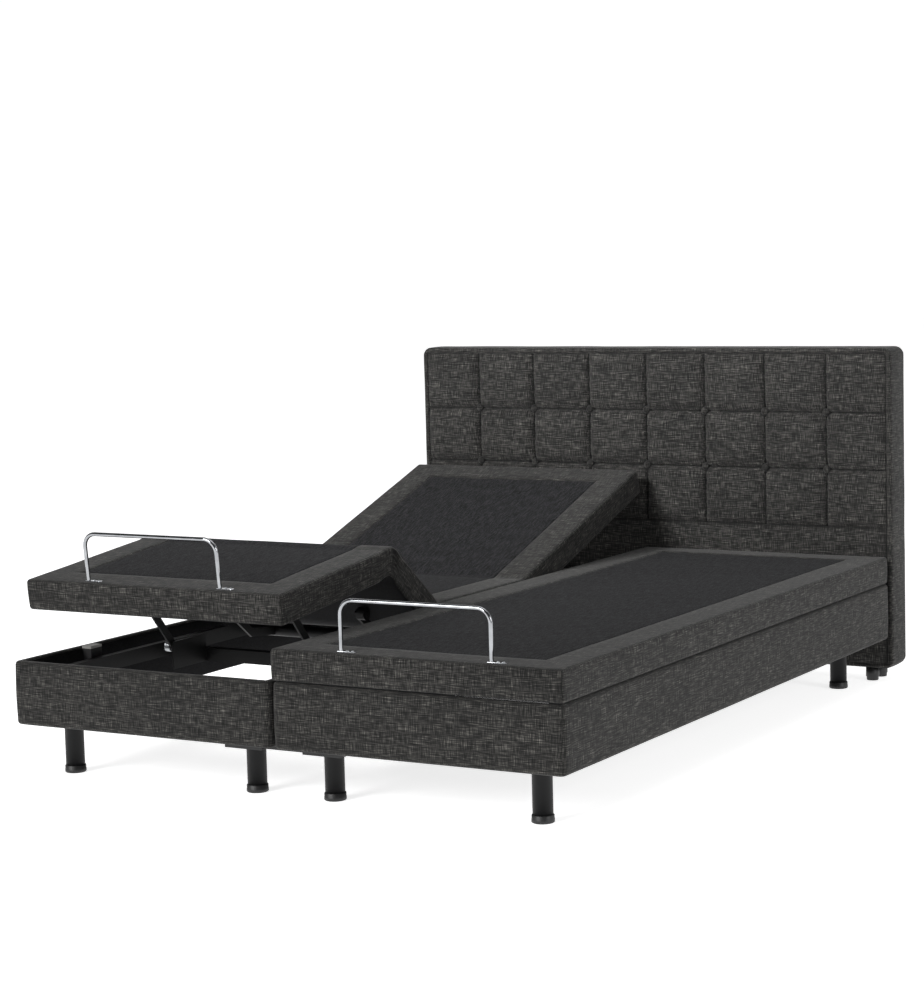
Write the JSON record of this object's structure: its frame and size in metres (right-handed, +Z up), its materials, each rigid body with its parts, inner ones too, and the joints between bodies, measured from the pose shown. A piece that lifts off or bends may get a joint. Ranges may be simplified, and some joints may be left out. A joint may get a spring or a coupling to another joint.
{
  "type": "adjustable bed base",
  "caption": "Twin upholstered adjustable bed base: two boxes on legs with jointed, motor-lifted decks, chrome mattress retainers and a button-tufted headboard.",
  "frame": {"origin": "centre of the footprint at floor level", "axes": "+X across the bed, +Y from the foot end to the headboard, +Z up"},
  "size_m": [1.616, 2.176, 1],
  "materials": {
    "upholstered_rail": "slub weave cover over board",
    "upholstery": "charcoal slub weave",
    "deck_cover": "charcoal weave border, black centre",
    "softwood": "sawn",
    "plywood": "sanded",
    "black_tube": "satin powder coat",
    "black_plastic": "moulded",
    "nylon": "moulded",
    "chrome_bar": "polished",
    "bright_rod": "ground",
    "zinc_steel": "zinc plated",
    "black_steel": "satin powder coat"
  },
  "bodies": {
    "base": {"headboard_frame": "softwood", "headboard_pad": "upholstery", "headboard_buttons": "upholstery", "headboard_feet": "black_tube", "headboard_brackets": "zinc_steel", "unit_connector": "black_steel", "control_boxes": "black_plastic", "support_blocks": "softwood", "legs": "black_tube", "leg_feet": "black_plastic", "leg_plates": "black_steel", "seat_hinges": "zinc_steel", "left_side_rails": "upholstered_rail", "left_end_rails": "upholstered_rail", "left_chassis": "black_steel", "left_seat_board": "plywood", "left_seat_pad": "deck_cover", "right_side_rails": "upholstered_rail", "right_end_rails": "upholstered_rail", "right_chassis": "black_steel", "right_seat_board": "plywood", "right_seat_pad": "deck_cover"},
    "left_back": {"left_back_board": "plywood", "left_back_pad": "deck_cover", "left_back_hinges": "zinc_steel"},
    "left_thigh": {"left_thigh_board": "plywood", "left_thigh_pad": "deck_cover", "left_thigh_hinges": "zinc_steel"},
    "left_calf": {"left_calf_board": "plywood", "left_calf_pad": "deck_cover", "left_calf_fittings": "zinc_steel", "left_retainer_bar": "chrome_bar"},
    "left_leg_lift_arm": {"left_leg_lift_arm": "black_steel"},
    "left_leg_rollers": {"left_leg_rollers": "nylon"},
    "left_back_lift_arm": {"left_back_lift_arm": "black_steel"},
    "left_back_rollers": {"left_back_rollers": "nylon"},
    "left_calf_links": {"left_calf_links": "black_steel"},
    "left_leg_actuator": {"left_leg_actuator": "black_plastic"},
    "left_leg_actuator_rod": {"left_leg_actuator_rod": "bright_rod"},
    "left_back_actuator": {"left_back_actuator": "black_plastic"},
    "left_back_actuator_rod": {"left_back_actuator_rod": "bright_rod"},
    "right_back": {"right_back_board": "plywood", "right_back_pad": "deck_cover", "right_back_hinges": "zinc_steel"},
    "right_thigh": {"right_thigh_board": "plywood", "right_thigh_pad": "deck_cover", "right_thigh_hinges": "zinc_steel"},
    "right_calf": {"right_calf_board": "plywood", "right_calf_pad": "deck_cover", "right_calf_fittings": "zinc_steel", "right_retainer_bar": "chrome_bar"},
    "right_leg_lift_arm": {"right_leg_lift_arm": "black_steel"},
    "right_leg_rollers": {"right_leg_rollers": "nylon"},
    "right_back_lift_arm": {"right_back_lift_arm": "black_steel"},
    "right_back_rollers": {"right_back_rollers": "nylon"},
    "right_calf_links": {"right_calf_links": "black_steel"},
    "right_leg_actuator": {"right_leg_actuator": "black_plastic"},
    "right_leg_actuator_rod": {"right_leg_actuator_rod": "bright_rod"},
    "right_back_actuator": {"right_back_actuator": "black_plastic"},
    "right_back_actuator_rod": {"right_back_actuator_rod": "bright_rod"}
  },
  "joints": [
    {"name": "left_back_fold", "type": "hinge", "parent": "base", "child": "left_back", "pos_m": [-0.402, 0.182, 0.371], "axis": [1, 0, 0], "range_deg": [-18.5, 41.5]},
    {"name": "left_thigh_fold", "type": "hinge", "parent": "base", "child": "left_thigh", "pos_m": [-0.402, -0.288, 0.371], "axis": [-1, 0, 0], "range_deg": [-38.7, 3.3]},
    {"name": "left_knee_fold", "type": "hinge", "parent": "left_thigh", "child": "left_calf", "pos_m": [-0.402, -0.50652, 0.54607], "axis": [1, 0, 0], "range_deg": [-44.81, 3.83]},
    {"name": "left_leg_arm_turn", "type": "hinge", "parent": "base", "child": "left_leg_lift_arm", "pos_m": [-0.402, -0.168, 0.25], "axis": [-1, 0, 0], "range_deg": [-16.69, 1.43]},
    {"name": "left_leg_roller_spin", "type": "hinge", "parent": "left_leg_lift_arm", "child": "left_leg_rollers", "pos_m": [-0.402, -0.41564, 0.35759], "axis": [1, 0, 0], "continuous": true},
    {"name": "left_leg_actuator_tilt", "type": "hinge", "parent": "base", "child": "left_leg_actuator", "pos_m": [-0.402, 0.432, 0.17], "axis": [-1, 0, 0], "range_deg": [-0.3925, 0.0426]},
    {"name": "left_leg_rod_push", "type": "slide", "parent": "left_leg_actuator", "child": "left_leg_actuator_rod", "axis": [0, -1, 0.0054], "range_m": [-0.02296, 0.00205]},
    {"name": "left_back_arm_turn", "type": "hinge", "parent": "base", "child": "left_back_lift_arm", "pos_m": [-0.402, 0.032, 0.25], "axis": [1, 0, 0], "range_deg": [-8.89, 19.93]},
    {"name": "left_back_roller_spin", "type": "hinge", "parent": "left_back_lift_arm", "child": "left_back_rollers", "pos_m": [-0.402, 0.38134, 0.33696], "axis": [1, 0, 0], "continuous": true},
    {"name": "left_back_actuator_tilt", "type": "hinge", "parent": "base", "child": "left_back_actuator", "pos_m": [-0.402, -0.488, 0.17], "axis": [1, 0, 0], "range_deg": [-0.18, 0.3914]},
    {"name": "left_back_rod_push", "type": "slide", "parent": "left_back_actuator", "child": "left_back_actuator_rod", "axis": [0, 1, 0], "range_m": [-0.01233, 0.02755]},
    {"name": "left_link_turn", "type": "hinge", "parent": "base", "child": "left_calf_links", "pos_m": [-0.402, -0.634, 0.276], "axis": [-1, 0, 0], "range_deg": [-49.89, 4.26]},
    {"name": "right_back_fold", "type": "hinge", "parent": "base", "child": "right_back", "pos_m": [0.402, 0.182, 0.371], "axis": [1, 0, 0], "range_deg": [0, 60]},
    {"name": "right_thigh_fold", "type": "hinge", "parent": "base", "child": "right_thigh", "pos_m": [0.402, -0.288, 0.371], "axis": [-1, 0, 0], "range_deg": [0, 42]},
    {"name": "right_knee_fold", "type": "hinge", "parent": "right_thigh", "child": "right_calf", "pos_m": [0.402, -0.568, 0.371], "axis": [1, 0, 0], "range_deg": [-0.01, 48.63]},
    {"name": "right_leg_arm_turn", "type": "hinge", "parent": "base", "child": "right_leg_lift_arm", "pos_m": [0.402, -0.168, 0.25], "axis": [-1, 0, 0], "range_deg": [-0.01, 18.11]},
    {"name": "right_leg_roller_spin", "type": "hinge", "parent": "right_leg_lift_arm", "child": "right_leg_rollers", "pos_m": [0.402, -0.4361, 0.282], "axis": [1, 0, 0], "continuous": true},
    {"name": "right_leg_actuator_tilt", "type": "hinge", "parent": "base", "child": "right_leg_actuator", "pos_m": [0.402, 0.432, 0.17], "axis": [-1, 0, 0], "range_deg": [-0.01, 0.2883]},
    {"name": "right_leg_rod_push", "type": "slide", "parent": "right_leg_actuator", "child": "right_leg_actuator_rod", "axis": [0, -1, 0], "range_m": [-0.0001, 0.02512]},
    {"name": "right_back_arm_turn", "type": "hinge", "parent": "base", "child": "right_back_lift_arm", "pos_m": [0.402, 0.032, 0.25], "axis": [1, 0, 0], "range_deg": [-0.01, 28.8]},
    {"name": "right_back_roller_spin", "type": "hinge", "parent": "right_back_lift_arm", "child": "right_back_rollers", "pos_m": [0.402, 0.39058, 0.282], "axis": [1, 0, 0], "continuous": true},
    {"name": "right_back_actuator_tilt", "type": "hinge", "parent": "base", "child": "right_back_actuator", "pos_m": [0.402, -0.488, 0.17], "axis": [1, 0, 0], "range_deg": [-0.01, 0.2169]},
    {"name": "right_back_rod_push", "type": "slide", "parent": "right_back_actuator", "child": "right_back_actuator_rod", "axis": [0, 1, 0.0015], "range_m": [-0.0001, 0.03995]},
    {"name": "right_link_turn", "type": "hinge", "parent": "base", "child": "right_calf_links", "pos_m": [0.402, -0.634, 0.276], "axis": [-1, 0, 0], "range_deg": [-0.01, 54.14]}
  ],
  "couplings": [
    {"joint": "left_knee_fold", "follows": "left_thigh_fold", "ratio": 1.1576},
    {"joint": "left_leg_arm_turn", "follows": "left_thigh_fold", "ratio": 0.4309},
    {"joint": "left_leg_actuator_tilt", "follows": "left_thigh_fold", "ratio": 0.009884},
    {"joint": "left_leg_rod_push", "follows": "left_thigh_fold", "m_per_rad": 0.033842},
    {"joint": "left_back_arm_turn", "follows": "left_back_fold", "ratio": 0.4799},
    {"joint": "left_back_actuator_tilt", "follows": "left_back_fold", "ratio": 0.009189},
    {"joint": "left_back_rod_push", "follows": "left_back_fold", "m_per_rad": 0.037891},
    {"joint": "left_link_turn", "follows": "left_thigh_fold", "ratio": 1.2888},
    {"joint": "right_knee_fold", "follows": "right_thigh_fold", "ratio": 1.1576},
    {"joint": "right_leg_arm_turn", "follows": "right_thigh_fold", "ratio": 0.4309},
    {"joint": "right_leg_actuator_tilt", "follows": "right_thigh_fold", "ratio": 0.006627},
    {"joint": "right_leg_rod_push", "follows": "right_thigh_fold", "m_per_rad": 0.03413},
    {"joint": "right_back_arm_turn", "follows": "right_back_fold", "ratio": 0.4799},
    {"joint": "right_back_actuator_tilt", "follows": "right_back_fold", "ratio": 0.003448},
    {"joint": "right_back_rod_push", "follows": "right_back_fold", "m_per_rad": 0.038057},
    {"joint": "right_link_turn", "follows": "right_thigh_fold", "ratio": 1.2888}
  ]
}
